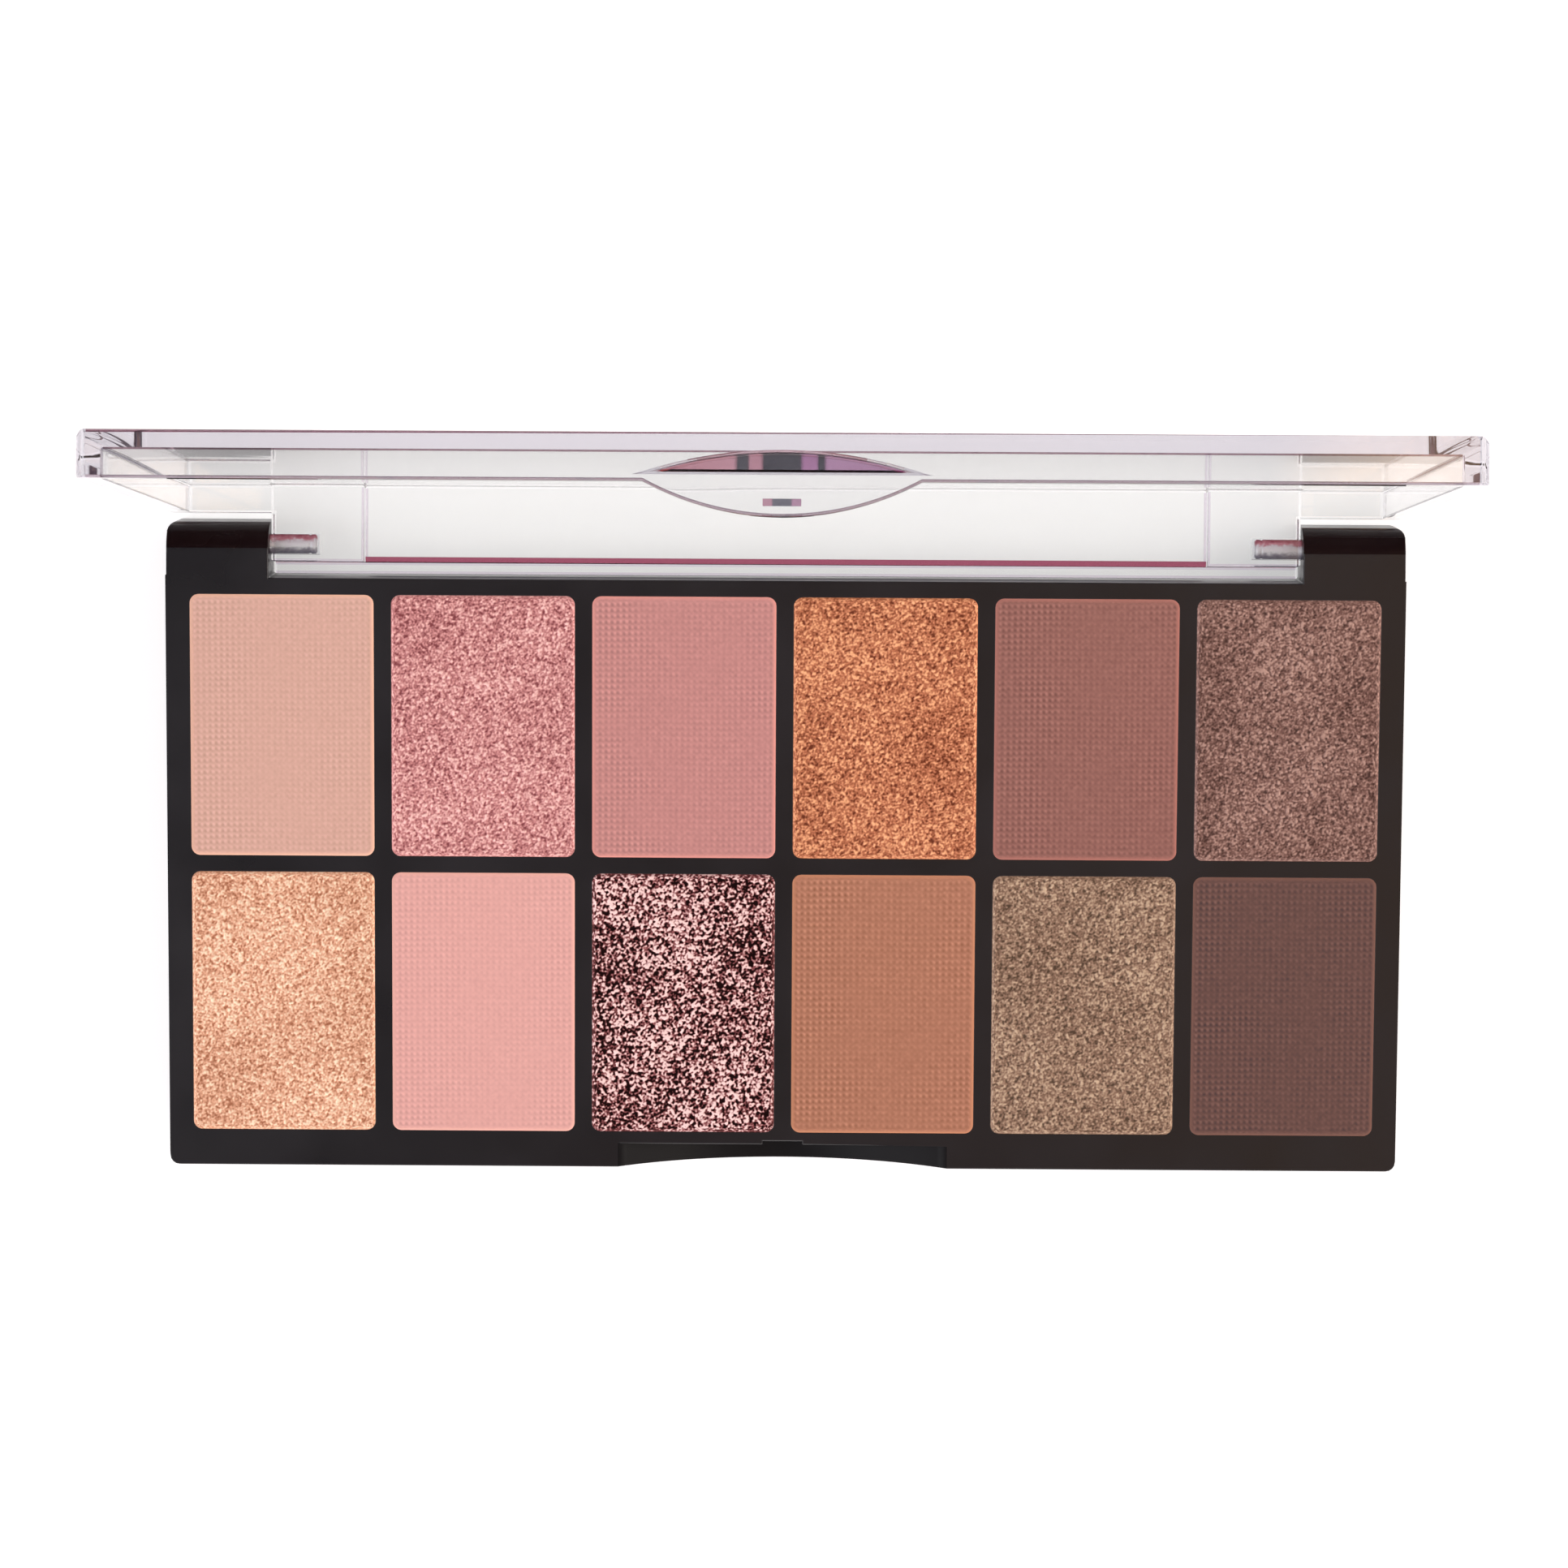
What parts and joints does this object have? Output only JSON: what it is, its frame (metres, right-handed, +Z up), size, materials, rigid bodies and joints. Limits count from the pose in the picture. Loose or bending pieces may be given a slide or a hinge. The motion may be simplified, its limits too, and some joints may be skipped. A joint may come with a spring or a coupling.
{
  "type": "eyeshadow palette",
  "caption": "Flat rectangular eyeshadow palette: pressed powders in a black plastic base under a clear hinged lid, standing open on its stop.",
  "frame": {"origin": "centre of the base's underside, which stands on z = 0", "axes": "+X along the long side to the user's right, +Y from the thumb notch at the front towards the hinge at the back, +Z up out of the powders"},
  "size_m": [0.124, 0.0767, 0.0674],
  "materials": {
    "black_frame": "moulded black ABS, fine satin texture on the deck",
    "black_plate": "moulded black ABS, satin",
    "label_paper": "blank coated paper sticker",
    "hot_melt": "set hot-melt adhesive",
    "pan_tin": "pressed sheet, satin",
    "powder_peach": "pressed matte powder with an embossed dimple grid",
    "powder_rose_shimmer": "pressed shimmer powder",
    "powder_dusty_rose": "pressed matte powder with an embossed dimple grid",
    "powder_copper_shimmer": "pressed shimmer powder",
    "powder_rose_brown": "pressed matte powder with an embossed dimple grid",
    "powder_taupe_shimmer": "pressed shimmer powder",
    "powder_champagne_shimmer": "pressed shimmer powder",
    "powder_pink": "pressed matte powder with an embossed dimple grid",
    "powder_mauve_glitter": "pressed coarse glitter",
    "powder_caramel": "pressed matte powder with an embossed dimple grid",
    "powder_bronze_shimmer": "pressed shimmer powder",
    "powder_dark_brown": "pressed matte powder with an embossed dimple grid",
    "pin_steel": "drawn wire",
    "clear_lid": "clear moulded styrene, polished"
  },
  "bodies": {
    "base": {"top_frame": "black_frame", "bottom_plate": "black_plate", "base_label": "label_paper", "glue_pad_01": "hot_melt", "glue_pad_02": "hot_melt", "glue_pad_03": "hot_melt", "glue_pad_04": "hot_melt", "glue_pad_05": "hot_melt", "glue_pad_06": "hot_melt", "glue_pad_07": "hot_melt", "glue_pad_08": "hot_melt", "glue_pad_09": "hot_melt", "glue_pad_10": "hot_melt", "glue_pad_11": "hot_melt", "glue_pad_12": "hot_melt", "pan_01": "pan_tin", "pan_02": "pan_tin", "pan_03": "pan_tin", "pan_04": "pan_tin", "pan_05": "pan_tin", "pan_06": "pan_tin", "pan_07": "pan_tin", "pan_08": "pan_tin", "pan_09": "pan_tin", "pan_10": "pan_tin", "pan_11": "pan_tin", "pan_12": "pan_tin", "powder_01": "powder_peach", "powder_02": "powder_rose_shimmer", "powder_03": "powder_dusty_rose", "powder_04": "powder_copper_shimmer", "powder_05": "powder_rose_brown", "powder_06": "powder_taupe_shimmer", "powder_07": "powder_champagne_shimmer", "powder_08": "powder_pink", "powder_09": "powder_mauve_glitter", "powder_10": "powder_caramel", "powder_11": "powder_bronze_shimmer", "powder_12": "powder_dark_brown", "hinge_pin_left": "pin_steel", "hinge_pin_right": "pin_steel"},
    "lid": {"lid_shell": "clear_lid"}
  },
  "joints": [
    {"name": "lid_hinge", "type": "hinge", "parent": "base", "child": "lid", "pos_m": [0, 0.03025, 0.005], "axis": [1, 0, 0], "range_deg": [0, 96]}
  ]
}
